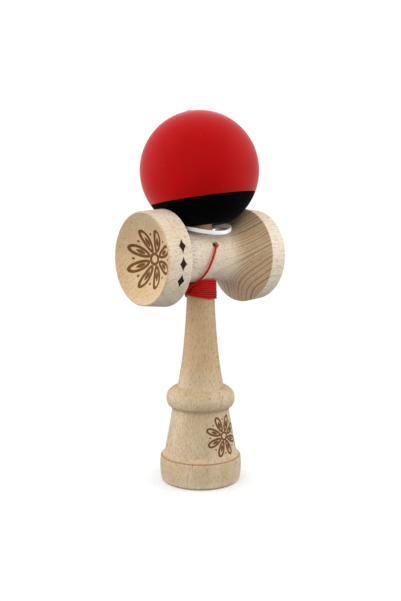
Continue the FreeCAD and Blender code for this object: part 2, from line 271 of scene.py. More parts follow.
def carve(obj, *cutters):
    """Cut the cutters out of the object and throw them away."""
    for cutter in cutters:
        cutting = obj.modifiers.new("carving", "BOOLEAN")
        cutting.object = cutter
        cutting.operation = "DIFFERENCE"
        cutting.solver = "EXACT"
    bpy.context.view_layer.update()
    carved = bpy.data.meshes.new_from_object(obj.evaluated_get(bpy.context.evaluated_depsgraph_get()))
    obj.modifiers.clear()
    obj.data = carved
    finish_mesh(carved)
    for cutter in cutters:
        bpy.data.objects.remove(cutter)


BRAID_PITCH = 1.5                                       # mm from one strand to the next, along the string


def tube(name, centres, radius, sides, relief, closed=False):
    """A braided tube round a line of points in metres: crossing strands stand out by relief, a share of the
    radius. Its UV map runs once round, and along in radii."""
    count = len(centres)
    ahead = [(centres[(i + 1) % count] if closed or i < count - 1 else centres[i])
             - (centres[i - 1] if closed or i else centres[i]) for i in range(count)]
    side = ahead[0].orthogonal().normalized()
    points, around = [], [math.tau * k / sides for k in range(sides)]
    along, alongs = 0.0, []
    for i, centre in enumerate(centres):
        direction = ahead[i].normalized()
        side = (side - direction * side.dot(direction)).normalized()
        other = direction.cross(side)
        along += (centre - centres[i - 1]).length if i else 0
        alongs.append(along)
        phase = math.tau * along / (BRAID_PITCH * MM)
        for angle in around:
            weave = math.cos(3 * angle + phase) * math.cos(3 * angle - phase)
            reach = radius * MM * (1 + relief * weave)
            points.append(centre + (side * math.cos(angle) + other * math.sin(angle)) * reach)
    faces, uvs = [], []
    for i in range(count if closed else count - 1):
        low, high = i * sides, (i + 1) % count * sides
        for k in range(sides):
            after = (k + 1) % sides
            faces.append((low + k, low + after, high + after, high + k))
            start, end = alongs[i] / (radius * MM), alongs[min(i + 1, count - 1)] / (radius * MM)
            uvs += [(k / sides, start), ((k + 1) / sides, start), ((k + 1) / sides, end), (k / sides, end)]
    if not closed:
        for first, middle, flip in ((0, centres[0], True), ((count - 1) * sides, centres[-1], False)):
            points.append(middle)
            for k in range(sides):
                pair = (first + (k + 1) % sides, first + k) if flip else (first + k, first + (k + 1) % sides)
                faces.append((*pair, len(points) - 1))
                uvs += [(k / sides, 0), ((k + 1) / sides, 0), ((k + 0.5) / sides, 1)]
    obj = add_mesh(name, points, faces, sharp=80)
    layer = obj.data.uv_layers.new(name="along")
    layer.data.foreach_set("uv", [value for uv in uvs for value in uv])
    return obj


def hold(obj, body, material, slot, *nodes):
    """The finished piece gets its material, rides on its body and stands for its CAD nodes. A burnt mark has
    no node, and the string no single body. slot is not used."""
    obj.data.materials.clear()
    obj.data.materials.append(material)
    if nodes:
        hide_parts(*nodes)
    if body:
        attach(obj, body)


# ---------------------------------------------------------------- material tools
class Graph:
    """Short calls for building one material's nodes round its Principled shader."""

    def __init__(self, name):
        self.material = bpy.data.materials.new(name)
        self.material.use_nodes = True
        self.tree = self.material.node_tree
        self.shader = self.tree.nodes["Principled BSDF"]
        self.coords = self.tree.nodes.new("ShaderNodeTexCoord")

    def node(self, kind, inputs, **settings):
        made = self.tree.nodes.new(f"ShaderNode{kind}")
        for key, value in settings.items():
            setattr(made, key, value)
        for socket, value in inputs.items():
            self.put(made.inputs[socket], value)
        return made

    def put(self, socket, value):
        """Link another node's output, or set a constant."""
        if isinstance(value, bpy.types.NodeSocket):
            self.tree.links.new(value, socket)
        else:
            socket.default_value = value

    def math(self, operation, a, b=0.0):
        return self.node("Math", {0: a, 1: b}, operation=operation).outputs[0]

    def vector(self, operation, a, b=(0, 0, 0), output=0):
        return self.node("VectorMath", {0: a, 1: b}, operation=operation).outputs[output]

    def noise(self, place, scale=1.0, detail=2.0, roughness=0.5, output="Fac"):
        inputs = {"Vector": place, "Scale": scale, "Detail": detail, "Roughness": roughness}
        return self.node("TexNoise", inputs).outputs[output]

    def between(self, value, low, high, start=0.0, end=1.0):
        """A smooth step from start at low to end at high."""
        inputs = {"Value": value, "From Min": low, "From Max": high, "To Min": start, "To Max": end}
        return self.node("MapRange", inputs, interpolation_type="SMOOTHSTEP").outputs[0]

    def mix(self, share, a, b, blend="MIX"):
        """Colour a turned into colour b by share."""
        made = self.node("Mix", {}, data_type="RGBA", blend_type=blend)
        colours = [socket for socket in made.inputs if socket.type == "RGBA"]
        self.put(made.inputs[0], share)
        for socket, value in zip(colours, (a, b)):
            self.put(socket, value)
        return next(socket for socket in made.outputs if socket.type == "RGBA")

    def ramp(self, value, stops):
        """A colour for each value, along stops of (position, colour)."""
        made = self.node("ValToRGB", {"Fac": value})
        elements = made.color_ramp.elements
        while len(elements) < len(stops):
            elements.new(0.5)
        for element, (position, colour) in zip(elements, stops):
            element.position = position
            element.color = colour
        return made.outputs[0]

    def millimetres(self, turn=(0, 0, 0), offset=(0, 0, 0)):
        """The surface's own place in millimetres, turned and then shifted."""
        inputs = {"Vector": self.coords.outputs["Object"], "Location": offset, "Rotation": turn,
                  "Scale": (1 / MM,) * 3}
        return self.node("Mapping", inputs).outputs[0]

    def paint_hollow_shade(self, tone, dark, reach, low, high, share):
        """Painted shade: darker where surfaces within reach millimetres shut the light out, share of the dark
        colour where no more than low of the sky is open, and none of it where high is."""
        open_sky = self.node("AmbientOcclusion", {"Distance": reach * MM}, samples=8).outputs["AO"]
        return self.mix(self.between(open_sky, low, high, share, 0.0), tone, shade(*dark))

    def finish(self, colour, roughness, height=None, depth=0.05, strength=0.5, **shader):
        """Connect colour, roughness and a height whose full range is depth millimetres, and set the rest."""
        self.put(self.shader.inputs["Base Color"], colour)
        self.put(self.shader.inputs["Roughness"], roughness)
        if height is not None:
            bump = self.node("Bump", {"Height": height, "Distance": depth * MM, "Strength": strength})
            self.put(self.shader.inputs["Normal"], bump.outputs[0])
        for name, value in shader.items():
            self.shader.inputs[name.replace("_", " ")].default_value = value
        return self.material


def shade(red, green, blue):
    """A colour as a screen shows it, 0 to 255, as the linear values that shaders take."""
    linear = [v / 255 / 12.92 if v <= 10.31 else ((v / 255 + 0.055) / 1.055) ** 2.4 for v in (red, green, blue)]
    return (*linear, 1.0)


def grain_turn(grain, outward):
    """The rotation that lays the grain along Z and the growth rings' outward direction along X."""
    grain, outward = Vector(grain).normalized(), Vector(outward)
    outward = (outward - grain * outward.dot(grain)).normalized()
    return Matrix((outward, grain.cross(outward), grain)).to_euler()


RING_WANDER = 7.0                                       # how far the growth rings stray, in mm
RING_STOPS = [(0.0, (0.1, 0.1, 0.1, 1)), (0.60, (0.0, 0.0, 0.0, 1)), (0.88, (0.75, 0.75, 0.75, 1)),
              (0.94, (1, 1, 1, 1)), (1.0, (0.1, 0.1, 0.1, 1))]
DASH_BROWN, FIBRE_BROWN, GROOVE_BROWN = shade(146, 110, 76), shade(150, 118, 82), shade(118, 78, 46)
FLAKE_PALE = shade(236, 220, 192)
FLARE_SHADE, UPPER_BROWN = shade(232, 231, 236), shade(238, 220, 196)
END_GRAIN_DEEP, END_GRAIN_PALE = shade(222, 197, 158), shade(242, 225, 195)
WOOD_SHADOW = (40, 22, 14)


def beech(name, grain, outward, pith, pitch, light, deep, rings, ring_colour=(138, 108, 80), end_share=0.9,
          middle=(0, 0, 0), flare_rings=0.0, flecks=0.34, fineness=1.0, ray_depth=6.2, groove_line_at=None,
          browner_above=None):
    """Turned beech as a solid pattern: growth rings round a pith that lies pith millimetres behind the middle,
    thin rays that show as short dashes on one face and as flakes on the next, long fibres, and darker end
    grain, with painted shade in hollows and, where flare_rings is set, on the flares' inward faces.
    groove_line_at is the height of a thin brown line, and browner_above a span of heights above
    which the wood is browner."""
    g = Graph(name)
    turn = grain_turn(grain, outward)
    place = g.millimetres(turn, Vector((pith, 0, 0)) - turn.to_matrix() @ Vector(middle))
    drift = g.noise(g.vector("MULTIPLY", place, (0.035, 0.035, 0.010)), detail=1, output="Color")
    wander = g.vector("MULTIPLY", g.vector("SUBTRACT", drift, (0.5,) * 3), (RING_WANDER, RING_WANDER, 0))
    place = g.vector("ADD", place, wander)
    across = g.vector("LENGTH", g.vector("MULTIPLY", place, (1, 1, 0)), output="Value")
    uneven = g.node("TexNoise", {"W": across, "Scale": 0.16, "Detail": 1}, noise_dimensions="1D").outputs[0]
    phase = g.math("FRACT", g.math("ADD", g.math("DIVIDE", across, pitch), g.math("MULTIPLY", uneven, 3.0)))
    ring = g.ramp(phase, RING_STOPS)
    patches = g.noise(g.vector("MULTIPLY", place, (0.11, 0.11, 0.03)), detail=2)
    tone = g.mix(g.between(patches, 0.34, 0.68), shade(*light), shade(*deep))
    along = g.vector("DOT_PRODUCT", g.coords.outputs["Normal"], tuple(Vector(grain).normalized()), "Value")
    side = g.math("SIGN", g.node("SeparateXYZ", {"Vector": g.millimetres()}).outputs["X"])
    sideways = g.vector("DOT_PRODUCT", g.coords.outputs["Normal"], (-1, 0, 0), "Value")
    flare = g.between(g.math("MULTIPLY", sideways, side), 0.08, 0.66)
    if flare_rings:
        # Painted shade: the flares' inward faces, under the cups, are darkened.
        tone = g.mix(g.math("MULTIPLY", flare, 0.9), tone, g.mix(1.0, tone, FLARE_SHADE, "MULTIPLY"))
    share = g.math("ADD", g.math("MULTIPLY", flare, flare_rings), rings)
    tone = g.mix(g.math("MULTIPLY", ring, share), tone, shade(*ring_colour))

    ray_scale = (fineness / ray_depth, 2.0 * fineness, 0.32 * fineness)
    rays = g.noise(g.vector("MULTIPLY", place, ray_scale), detail=1.5, roughness=0.6)
    dashes = g.between(rays, 0.56, 0.64)
    tone = g.mix(g.math("MULTIPLY", dashes, flecks), tone, DASH_BROWN)
    flakes = g.noise(g.vector("MULTIPLY", place, (0.35, 3.2, 0.95)), detail=1, roughness=0.5)
    tone = g.mix(g.between(flakes, 0.54, 0.68, 0.0, 0.36), tone, FLAKE_PALE)
    fibres = g.noise(g.vector("MULTIPLY", place, (3.4, 3.4, 0.16)), detail=3, roughness=0.65)
    tone = g.mix(g.between(fibres, 0.30, 0.72, 0.30, 0.0), tone, FIBRE_BROWN)

    end_grain = g.between(g.math("ABSOLUTE", along), 0.15, 0.95)
    pores = g.noise(g.vector("MULTIPLY", place, (3.0, 3.0, 1.0)), detail=2, roughness=0.7)
    open_grain = g.mix(g.between(pores, 0.35, 0.65), END_GRAIN_DEEP, END_GRAIN_PALE)
    tone = g.mix(g.math("MULTIPLY", end_grain, end_share), tone, g.mix(1.0, tone, open_grain, "MULTIPLY"))
    height = g.node("SeparateXYZ", {"Vector": g.millimetres()}).outputs["Z"]
    if browner_above:
        # The wood browner towards the top, over the span browner_above.
        tone = g.mix(g.between(height, *browner_above, 0.0, 0.8), tone, g.mix(1.0, tone, UPPER_BROWN, "MULTIPLY"))
    # A thin brown line round the groove at that height, uneven along it.
    if groove_line_at:
        off = g.math("ABSOLUTE", g.math("SUBTRACT", height, groove_line_at))
        groove_dark = g.math("MULTIPLY", g.between(off, 0.15, 0.55, 0.85, 0.0), g.between(patches, 0.2, 0.6, 1.0, 0.6))
        tone = g.mix(groove_dark, tone, GROOVE_BROWN)

    # Painted shade in hollows and between parts, found by ambient occlusion.
    tone = g.paint_hollow_shade(tone, WOOD_SHADOW, reach=10, low=0.05, high=0.34, share=0.90)
    roughness = g.between(fibres, 0.25, 0.75, 0.50, 0.66)
    relief = g.math("SUBTRACT", g.math("MULTIPLY", fibres, 0.6), g.math("MULTIPLY", dashes, 0.35))
    relief = g.math("SUBTRACT", relief, g.math("MULTIPLY", g.math("MULTIPLY", pores, end_grain), 0.8))
    return g.finish(tone, roughness, relief, depth=0.06, strength=0.5, Specular_IOR_Level=0.30)


def soft_coat(name, colour, deep, edge, sheen, gloss=0.05):
    """Rubbery matt paint: faint cloudiness, a few specks of dust, a fine orange-peel skin, and a pale bloom
    where the surface turns away."""
    g = Graph(name)
    place = g.millimetres()
    clouds = g.noise(place, 0.07, detail=3)
    skin = g.noise(place, 2.6, detail=2)
    dust = g.between(g.noise(place, 1.3, detail=0), 0.84, 0.88)
    tone = g.mix(g.between(clouds, 0.3, 0.7), shade(*colour), shade(*deep))
    tone = g.mix(g.math("MULTIPLY", dust, 0.12), tone, shade(*edge))
    roughness = g.between(clouds, 0.3, 0.7, 0.52, 0.62)
    return g.finish(tone, roughness, skin, depth=0.03, strength=0.35, Sheen_Weight=sheen, Sheen_Roughness=0.36,
                    Sheen_Tint=shade(*edge), Specular_IOR_Level=gloss)


def braided(name):
    """Polyester braid: crossing strands laid by the tube's own map, with fine filaments and a soft bloom, and
    painted shade in the weave's hollows and between the turns.
    """
    g = Graph(name)
    u, v = g.node("SeparateXYZ", {"Vector": g.coords.outputs["UV"]}).outputs[:2]
    round_it = g.math("MULTIPLY", u, 3 * math.tau)
    along = g.math("MULTIPLY", v, math.tau * STRING_RADIUS / BRAID_PITCH)
    left = g.math("COSINE", g.math("ADD", round_it, along))
    right = g.math("COSINE", g.math("SUBTRACT", round_it, along))
    weave = g.math("MULTIPLY", left, right)
    filaments = g.noise(g.vector("MULTIPLY", g.coords.outputs["UV"], (46, 2.2, 1)), detail=3, roughness=0.7)
    wear = g.noise(g.millimetres(), 0.35, detail=2)
    # Painted shade: the weave's hollows darker and its crowns lighter.
    tone = g.mix(g.between(weave, -0.8, 0.7), shade(146, 9, 8), shade(228, 24, 18))
    tone = g.mix(g.between(filaments, 0.3, 0.75, 0.0, 0.45), tone, shade(242, 56, 42))
    tone = g.mix(g.between(wear, 0.4, 0.8, 0.0, 0.25), tone, shade(132, 10, 12))
    # Painted shade between the turns, found by ambient occlusion.
    tone = g.paint_hollow_shade(tone, (70, 3, 3), reach=1.2, low=0.30, high=0.90, share=0.92)
    height = g.math("ADD", g.math("MULTIPLY", weave, 0.5), g.math("MULTIPLY", filaments, 0.5))
    return g.finish(tone, g.between(filaments, 0.3, 0.7, 0.55, 0.75), height, depth=0.07, strength=0.6,
                    Sheen_Weight=0.10, Sheen_Roughness=0.4, Sheen_Tint=shade(255, 110, 96),
                    Specular_IOR_Level=0.12)


def moulded_white(name):
    """Soft white plastic: a slight yellow cast in patches, fine scuffs, a satin gloss, and painted shade
    where the ball and crosspiece close round it.
    """
    g = Graph(name)
    place = g.millimetres()
    patches = g.noise(place, 0.25, detail=2)
    scuffs = g.noise(g.vector("MULTIPLY", place, (0.9, 0.9, 6.0)), detail=3, roughness=0.7)
    tone = g.mix(g.between(patches, 0.35, 0.7), shade(253, 253, 253), shade(243, 244, 244))
    tone = g.mix(g.between(scuffs, 0.62, 0.75, 0.0, 0.2), tone, shade(206, 206, 204))
    # Painted shade where the ball and crosspiece close round the band, found by ambient occlusion.
    tone = g.paint_hollow_shade(tone, (46, 38, 34), reach=9, low=0.22, high=0.46, share=0.92)
    return g.finish(tone, g.between(scuffs, 0.4, 0.7, 0.24, 0.42), scuffs, depth=0.02, strength=0.3,
                    Specular_IOR_Level=0.5, Subsurface_Weight=0.12, Subsurface_Scale=0.0006)


def scorched(name, dark, light):
    """Wood burnt by a laser: brown that wavers along the grain, with a dull, slightly rough surface."""
    g = Graph(name)
    place = g.millimetres()
    lines = g.noise(place, 2.2, detail=3, roughness=0.7)
    depth = g.noise(place, 0.45, detail=2)
    tone = g.mix(g.between(lines, 0.32, 0.68), shade(*dark), shade(*light))
    tone = g.mix(g.between(depth, 0.35, 0.75, 0.0, 0.5), tone, shade(*dark))
    return g.finish(tone, g.between(lines, 0.3, 0.7, 0.7, 0.9), lines, depth=0.04, strength=0.6,
                    Specular_IOR_Level=0.15)


FRONT_LEFT = (-0.24442, -0.29882, 0.04006)              # the side of the handle that shows the rays as dashes
ken_beech = beech("ken_beech", grain=(0, 0, 1), outward=FRONT_LEFT, pith=62, pitch=3.4, light=(219, 199, 168),
                  deep=(205, 183, 149), rings=0.08, end_share=0.2, flecks=0.60, fineness=1.6, groove_line_at=13.35,
                  browner_above=(49, 66))
sarado_beech = beech("sarado_beech", grain=(0.956, 0.267, -0.119), outward=(-0.115, 0.716, 0.688), pith=121,
                     pitch=1.5, light=(248, 237, 218), deep=(241, 226, 202), rings=0.20,
                     ring_colour=(140, 108, 82), middle=(0, 0, 116), flare_rings=0.75, ray_depth=1.1)
tama_beech = beech("tama_beech", grain=(0, 0, 1), outward=(1, -0.4, 0), pith=40, pitch=2.6,
                   light=(214, 192, 160), deep=(196, 170, 134), rings=0.35)
bead_beech = beech("bead_beech", grain=(0, 0, 1), outward=(0, 1, 0), pith=22, pitch=1.6,
                   light=(206, 176, 136), deep=(188, 156, 114), rings=0.4)
red_coat = soft_coat("red_coat", colour=(181, 5, 7), deep=(174, 4, 6), edge=(255, 162, 166), sheen=1.05)
black_coat = soft_coat("black_coat", colour=(3, 3, 5), deep=(2, 2, 3), edge=(60, 84, 130), sheen=0.03,
                       gloss=0.02)
red_braid = braided("red_braid")
band_plastic = moulded_white("band_plastic")
brown_burn = scorched("brown_burn", dark=(92, 58, 32), light=(140, 98, 62))
black_burn = scorched("black_burn", dark=(30, 20, 14), light=(58, 38, 24))


# ---------------------------------------------------------------- ken
# From the dished foot up to the spike's tip: (radius, height, signed radius of the arc that leads here or 0).
BODY_LOW, BODY_HIGH = (18.4, 16.4), (14.9, 35.8)
KEN_OUTLINE = [
    (0, 8.0, 0), (18.0, 0.15, -24.2), (18.2, 0.0, 0), (18.9, 0.0, 0), (20.6, 2.0, 2.0), (21.1, 7.5, 37.7),
    (20.85, 12.75, 37.7), (20.3, 13.1, 0), (20.35, 13.5, 0), (*BODY_LOW, -4.3), (*BODY_HIGH, 0),
    (14.9, 37.4, 0), (16.7, 39.5, -3.0), (17.1, 46.1, 7.2), (11.9, 49.6, 8.7), (9.4, 65.0, -199.0),
    (NECK_RADIUS, NECK_HIGH, -410.0), (NECK_RADIUS, 107.0, 0), (6.2, 107.05, 0), (6.0, 129.5, 0),
    (5.85, 130.4, 0), (3.0, 163.5, 0), (0, 165.5, 3.25),
]
NOTCH_MIDDLE, NOTCH_HEIGHT, NOTCH_WIDTH, NOTCH_FLOOR, NOTCH_OUTSIDE = 119.0, 5.0, 3.6, 3.4, 8


def slab(name, low, high):
    """A plain block to cut with."""
    corners = [(x * MM, y * MM, z * MM) for x in (low[0], high[0]) for y in (low[1], high[1])
               for z in (low[2], high[2])]
    faces = [(0, 1, 3, 2), (4, 6, 7, 5), (0, 4, 5, 1), (2, 3, 7, 6), (0, 2, 6, 4), (1, 5, 7, 3)]
    return add_mesh(name, corners, faces)


def make_ken():
    ken = turned("ken_turned", outline_of(KEN_OUTLINE), segments=144)
    half = NOTCH_HEIGHT / 2
    carve(ken, slab("notch", (-NOTCH_WIDTH / 2, -NOTCH_OUTSIDE, NOTCH_MIDDLE - half),
                    (NOTCH_WIDTH / 2, -NOTCH_FLOOR, NOTCH_MIDDLE + half)))
    hold(ken, "handle", ken_beech, "ken_wood", "ken")


# ---------------------------------------------------------------- sarado
SARADO_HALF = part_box("sarado")[1][0] / MM
WAIST_HALF, FLARE_RADIUS, LIP, MOUTH_STEP = 9.8, 13.5, 0.7, 0.25
# Each cup: where its band starts, the band's radius there and at the mouth, the dish's radius at the mouth,
# and the dish's floor.
SMALL_CUP = (24.3, 24.0, 22.8, 21.95, 26.4)
BIG_CUP = (27.2, 24.65, 23.75, 22.9, 26.3)
SPINDLE_BORE, NECK_SEAT, NECK_SEAT_TOP = 6.25, 7.15, 107.1
BORE_FROM, BORE_TO = 90, 150
STRING_HOLE_ANGLE = math.radians(30)                    # above level, towards the front
STRING_HOLE_WAY = Vector((0, -math.cos(STRING_HOLE_ANGLE), math.sin(STRING_HOLE_ANGLE)))
STRING_HOLE_X = 0.5
# The string hole out from the crosspiece's axis: straight, then flared at its mouth.
STRING_HOLE_OUTLINE = [(0, 4, 0), (1.5, 4, 0), (1.5, 11.6, 0), (2.9, 13.4, -1.9), (0, 13.4, 0)]


def bowl_radius(cup):
    """The radius of the sphere that a cup's dish is part of."""
    *_, dish, floor = cup
    depth = SARADO_HALF - MOUTH_STEP - floor
    return (dish * dish + depth * depth) / (2 * depth)


def half_outline(cup):
    """From the waist to the middle of one cup's dish: (radius, distance from the middle, arc)."""
    edge, radius, mouth, dish, floor = cup
    centre = Vector((WAIST_RADIUS + FLARE_RADIUS, WAIST_HALF))
    reach = Vector((radius, edge)) - centre
    heading = math.atan2(reach.y, reach.x) + math.acos(FLARE_RADIUS / reach.length)
    leave = centre + Vector((math.cos(heading), math.sin(heading))) * FLARE_RADIUS
    return [
        (WAIST_RADIUS, WAIST_HALF, 0), (*leave, -FLARE_RADIUS), (radius, edge, 0),
        (mouth, SARADO_HALF - LIP, 0), (mouth - LIP, SARADO_HALF, LIP), (dish, SARADO_HALF - MOUTH_STEP, 0),
        (0, floor, -bowl_radius(cup)),
    ]


def sarado_outline():
    """The small cup's half mirrored and run back, then the big cup's half."""
    mirrored, arc = [], 0
    for radius, away, leads_here in reversed(half_outline(SMALL_CUP)):
        mirrored.append((radius, -away, arc))
        arc = leads_here
    return mirrored + half_outline(BIG_CUP)


def rod(name, radius, low, high):
    """A plain upright round bar to cut with."""
    return turned(name, [Vector(p) for p in ((0, low), (radius, low), (radius, high), (0, high))], 96)


def make_sarado():
    lying = Matrix.Translation((0, 0, SARADO_Z)) @ Matrix.Rotation(math.pi / 2, 4, "Y")
    sarado = turned("sarado_turned", outline_of(sarado_outline(), step=1.1), 176, lying)
    turn = STRING_HOLE_WAY.to_track_quat("Z", "Y").to_matrix().to_4x4()
    aim = Matrix.Translation((STRING_HOLE_X, 0, SARADO_Z)) @ turn
    carve(sarado, rod("spindle_bore", SPINDLE_BORE, BORE_FROM, BORE_TO),
          rod("neck_seat", NECK_SEAT, BORE_FROM, NECK_SEAT_TOP),
          turned("string_hole", outline_of(STRING_HOLE_OUTLINE, step=0.3, ease=0.1), 48, aim))
    hold(sarado, "handle", sarado_beech, "sarado_wood", "sarado")


# ---------------------------------------------------------------- tama
TAMA_CENTRE = Vector((-0.85, 0, 159.2))
TAMA_AXIS = Vector((-0.083236, 0.110458, 0.990389))
TAMA_LEAN = Vector((0, 0, 1)).rotation_difference(TAMA_AXIS).to_matrix().to_4x4()
TAMA_PLACE = Matrix.Translation(TAMA_CENTRE) @ TAMA_LEAN
TAMA_RADIUS, COAT = 30.0, 0.3
CORE_RADIUS = TAMA_RADIUS - COAT
COLOUR_LINE = -13.95                                    # where red meets black, from the ball's middle
HOLE_MOUTH, HOLE_RADIUS, TOP_HOLE = 12.3, 10.1, 1.6
HOLE_BEVEL, HOLE_DEPTH = 3.0, 43.0
BEAD_RADIUS, BEAD_END, BEAD_LENGTH, BEAD_BORE, BEAD_CURVE, BEAD_GAP = 4.2, 2.6, 4.4, 0.75, 3.2, 0.2


def level_at(radius, away):
    """The height of a ball's surface above its centre at that distance from the axis."""
    return math.sqrt(radius * radius - away * away)


def coat_loop(low, high):
    """A shell's outline between two rings, each a pair of points (radius, level): outside and inside."""
    (low_out, low_in), (high_out, high_in) = low, high
    return [(*low_out, 0), (*high_out, TAMA_RADIUS), (*high_in, 0), (*low_in, -CORE_RADIUS)]


def ring_at_level(level):
    """Both surfaces' points where the ball is cut level with that height above its centre."""
    return [(math.sqrt(r * r - level * level), level) for r in (TAMA_RADIUS, CORE_RADIUS)]


def ring_at_hole(hole, sign):
    """Both surfaces' points at the edge of a hole of that radius, on top for sign 1 and below for -1."""
    return [(hole, sign * level_at(r, hole)) for r in (TAMA_RADIUS, CORE_RADIUS)]


def make_tama():
    """The wooden ball and its two coats. Gives back the level of the big hole's floor."""
    mouth, top = -level_at(CORE_RADIUS, HOLE_MOUTH), level_at(CORE_RADIUS, TOP_HOLE)
    floor = mouth + HOLE_DEPTH
    core_loop = [
        (HOLE_MOUTH, mouth, 0), (CORE_RADIUS, 0, CORE_RADIUS), (TOP_HOLE, top, CORE_RADIUS),
        (TOP_HOLE, floor, 0), (HOLE_RADIUS, floor, 0), (HOLE_RADIUS, mouth + HOLE_BEVEL, 0),
    ]
    core = turned("tama_core_turned", outline_of(core_loop, closed=True), 144, TAMA_PLACE, closed=True)
    hold(core, "tama", tama_beech, "tama_wood", "tama_core")

    red = coat_loop(ring_at_level(COLOUR_LINE), ring_at_hole(TOP_HOLE, 1))
    red.insert(1, (TAMA_RADIUS, 0, TAMA_RADIUS))
    red.insert(4, (CORE_RADIUS, 0, -CORE_RADIUS))
    black = coat_loop(ring_at_hole(HOLE_MOUTH, -1), ring_at_level(COLOUR_LINE))
    for name, loop, paint, node in (("tama_red_paint", red, red_coat, "tama_red_coat"),
                                    ("tama_black_paint", black, black_coat, "tama_black_coat")):
        shell = turned(name, outline_of(loop, step=1.0, ease=0.08, closed=True), 192, TAMA_PLACE, closed=True)
        hold(shell, "tama", paint, node.replace("tama_", ""), node)
    return floor


def make_bead(core_floor):
    """The bead under the floor of the ball's hole. Gives back the level of its lower end."""
    high = core_floor - BEAD_GAP
    low, middle = high - BEAD_LENGTH, high - BEAD_LENGTH / 2
    loop = [(BEAD_BORE, low, 0), (BEAD_END, low, 0), (BEAD_RADIUS, middle, BEAD_CURVE),
            (BEAD_END, high, BEAD_CURVE), (BEAD_BORE, high, 0)]
    outline = outline_of(loop, step=0.3, ease=0.15, closed=True)
    bead = turned("bead_turned", outline, 64, TAMA_PLACE, closed=True)
    hold(bead, "bead_on_string", bead_beech, "bead_wood", "bead")
    return low


# ---------------------------------------------------------------- band
BAND_CENTRE = Vector((0.7, -0.89))
BAND_RADIUS, BAND_WALL, BAND_HEIGHT = 14.0, 1.0, 2.0
BAND_LOW, BAND_CURVE, BAND_CURVE_X = 128.40, 36.4, -0.7
BAND_DEEPER = 0.9                                       # the back of the strap is this much deeper
BACK_FROM, BACK_OVER = 0.58, 0.22                       # where the strap starts to deepen, and how soon
BAND_STEPS, SECTION_STEPS = 160, 28
WALL_POWER, HEIGHT_POWER = 0.45, 0.32                   # how square the strap's section is


def make_band():
    """A strap with rounded edges and slightly crowned sides, bent saddle-fashion over the waist. Its hidden
    back is deeper, so that no light shows under it."""
    section = []
    for k in range(SECTION_STEPS):
        angle = math.tau * k / SECTION_STEPS
        c, s = math.cos(angle), math.sin(angle)
        section.append((math.copysign(abs(c) ** WALL_POWER, c) * BAND_WALL / 2,
                        math.copysign(abs(s) ** HEIGHT_POWER, s) * BAND_HEIGHT / 2))
    points, faces = [], []
    for i in range(BAND_STEPS):
        angle = math.tau * i / BAND_STEPS
        outward = Vector((math.cos(angle), math.sin(angle), 0))
        back = min(1, max(0, outward.y - BACK_FROM) / BACK_OVER)
        back *= back * (3 - 2 * back)
        for out, rise in section:
            spot = outward * (BAND_RADIUS + out * (1 - 0.12 * abs(2 * rise / BAND_HEIGHT) ** 3))
            x, y = spot.x + BAND_CENTRE.x, spot.y + BAND_CENTRE.y
            curve = BAND_CURVE - rise
            z = BAND_LOW + BAND_CURVE - math.sqrt(curve * curve - (x - BAND_CURVE_X) ** 2)
            z -= BAND_DEEPER * back * (0.5 - rise / BAND_HEIGHT)
            points.append(Vector((x, y, z)) * MM)
    size = len(section)
    for i in range(BAND_STEPS):
        for k in range(size):
            low, high, after = i * size, (i + 1) % BAND_STEPS * size, (k + 1) % size
            faces.append((low + k, high + k, high + after, low + after))
    band = add_mesh("band_moulded", points, faces, sharp=60)
    hold(band, "band", band_plastic, "band_white", "spacer_band")


# ---------------------------------------------------------------- string and knots
KNOT_RADIUS, KNOT_STRAND, KNOT_STRING = 1.32, 0.48, 0.46
KNOT_STEPS = 72
ANCHOR_KNOT = (0, -4.8, 119.1)
END_KNOT_DROP = 1.4                                     # from the bead's lower end to the knot's middle


def make_knot(name, centre, body, node):
    """A small knot pulled tight: a closed trefoil of the same braid."""
    centre = Vector(centre)
    wire = KNOT_RADIUS - KNOT_STRAND
    loop = []
    for k in range(KNOT_STEPS):
        t = math.tau * k / KNOT_STEPS
        spot = Vector((math.sin(t) + 2 * math.sin(2 * t), math.cos(t) - 2 * math.cos(2 * t),
                       -math.sin(3 * t) * 1.6))
        loop.append((centre + spot * (wire / 3)) * MM)
    knot = tube(name, loop, KNOT_STRING, sides=10, relief=0.08, closed=True)
    hold(knot, body, red_braid, "red_string", node)
    return knot


def make_string(bead_low):
    """One cord from the notch to the bead, with a knot at each end."""
    route = LEAD + winding_route() + TAIL
    centres = evenly(spline_points(route), STRING_STEP * MM)
    string = tube("string_braided", centres, STRING_RADIUS, sides=12, relief=0.07)
    hold(string, None, red_braid, "red_string", "string_lead", "string_winding", "string_tail_low",
         "string_tail_high")
    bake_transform(string)
    anchor = make_knot("knot_in_notch", ANCHOR_KNOT, "handle", "string_anchor_knot")
    end = make_knot("knot_under_bead", TAMA_PLACE @ Vector((0, 0, bead_low - END_KNOT_DROP)),
                    "bead_on_string", "string_end_knot")


# ---------------------------------------------------------------- burnt marks
PROUD, SUNK = 0.035, 0.12                               # how far a mark stands out, and how deep it goes
CUP_MARK_RADIUS, CUP_MARK_SHIFT = 15.2, (-3.1, -0.5)
FOOT_MARK_RADIUS, FOOT_MARK_SHIFT = 10.5, (1.8, 25.8)
STAR_X, STAR_DEGREES, STAR_LENGTH, STAR_WIDTH = -29.4, (16.5, -4.3, -24.4), 17.5, 3.4


